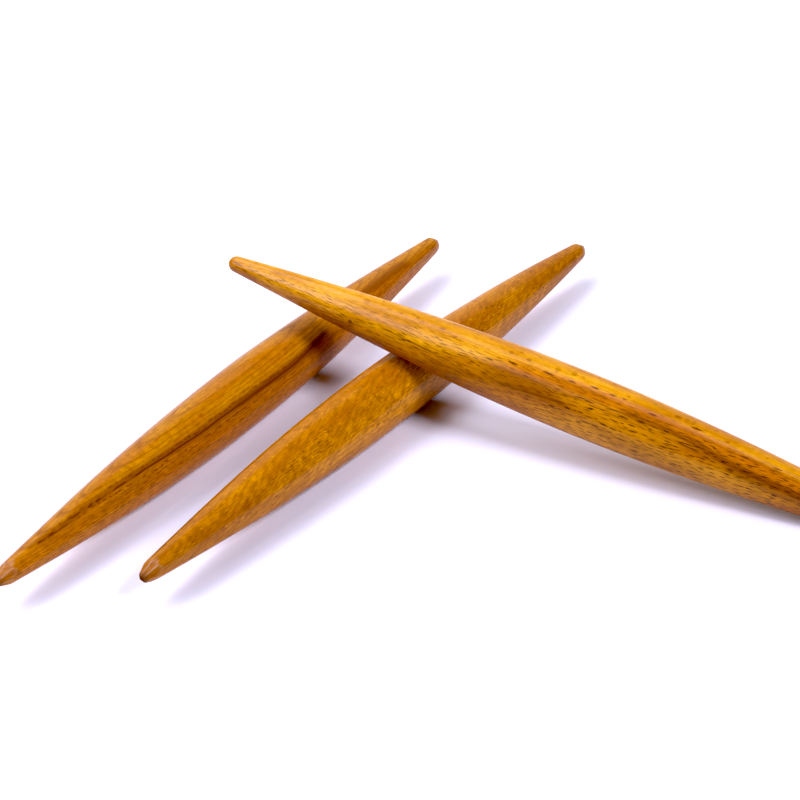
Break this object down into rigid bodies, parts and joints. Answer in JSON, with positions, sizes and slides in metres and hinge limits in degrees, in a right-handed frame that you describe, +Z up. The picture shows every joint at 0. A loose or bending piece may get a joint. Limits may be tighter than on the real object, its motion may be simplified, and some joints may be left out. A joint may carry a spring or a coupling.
{
  "type": "clay modeling tool",
  "caption": "Loose wooden clay modelling sticks, fat in the middle and tapering to hand-cut blunt points at both ends, with one stick lying across the others.",
  "frame": {"origin": "middle of the ground that the pile covers, on the table", "axes": "+Z up from the table, +Y away from the viewer, so that the left and right sticks point away to the right and the top stick comes down to the right"},
  "size_m": [0.229, 0.1706, 0.0322],
  "materials": {
    "left_wood": "satin varnish",
    "right_wood": "satin varnish",
    "top_wood": "satin varnish"
  },
  "bodies": {
    "right": {"right_stick": "right_wood"},
    "left": {"left_stick": "left_wood"},
    "top": {"top_stick": "top_wood"}
  },
  "joints": [
    {"name": "top_lift", "type": "slide", "parent": "right", "child": "top", "axis": [0, 0, 1], "range_m": [0, 0.08]},
    {"name": "left_draw", "type": "slide", "parent": "right", "child": "left", "axis": [-0.5299, -0.848, 0], "range_m": [0, 0.16]}
  ]
}
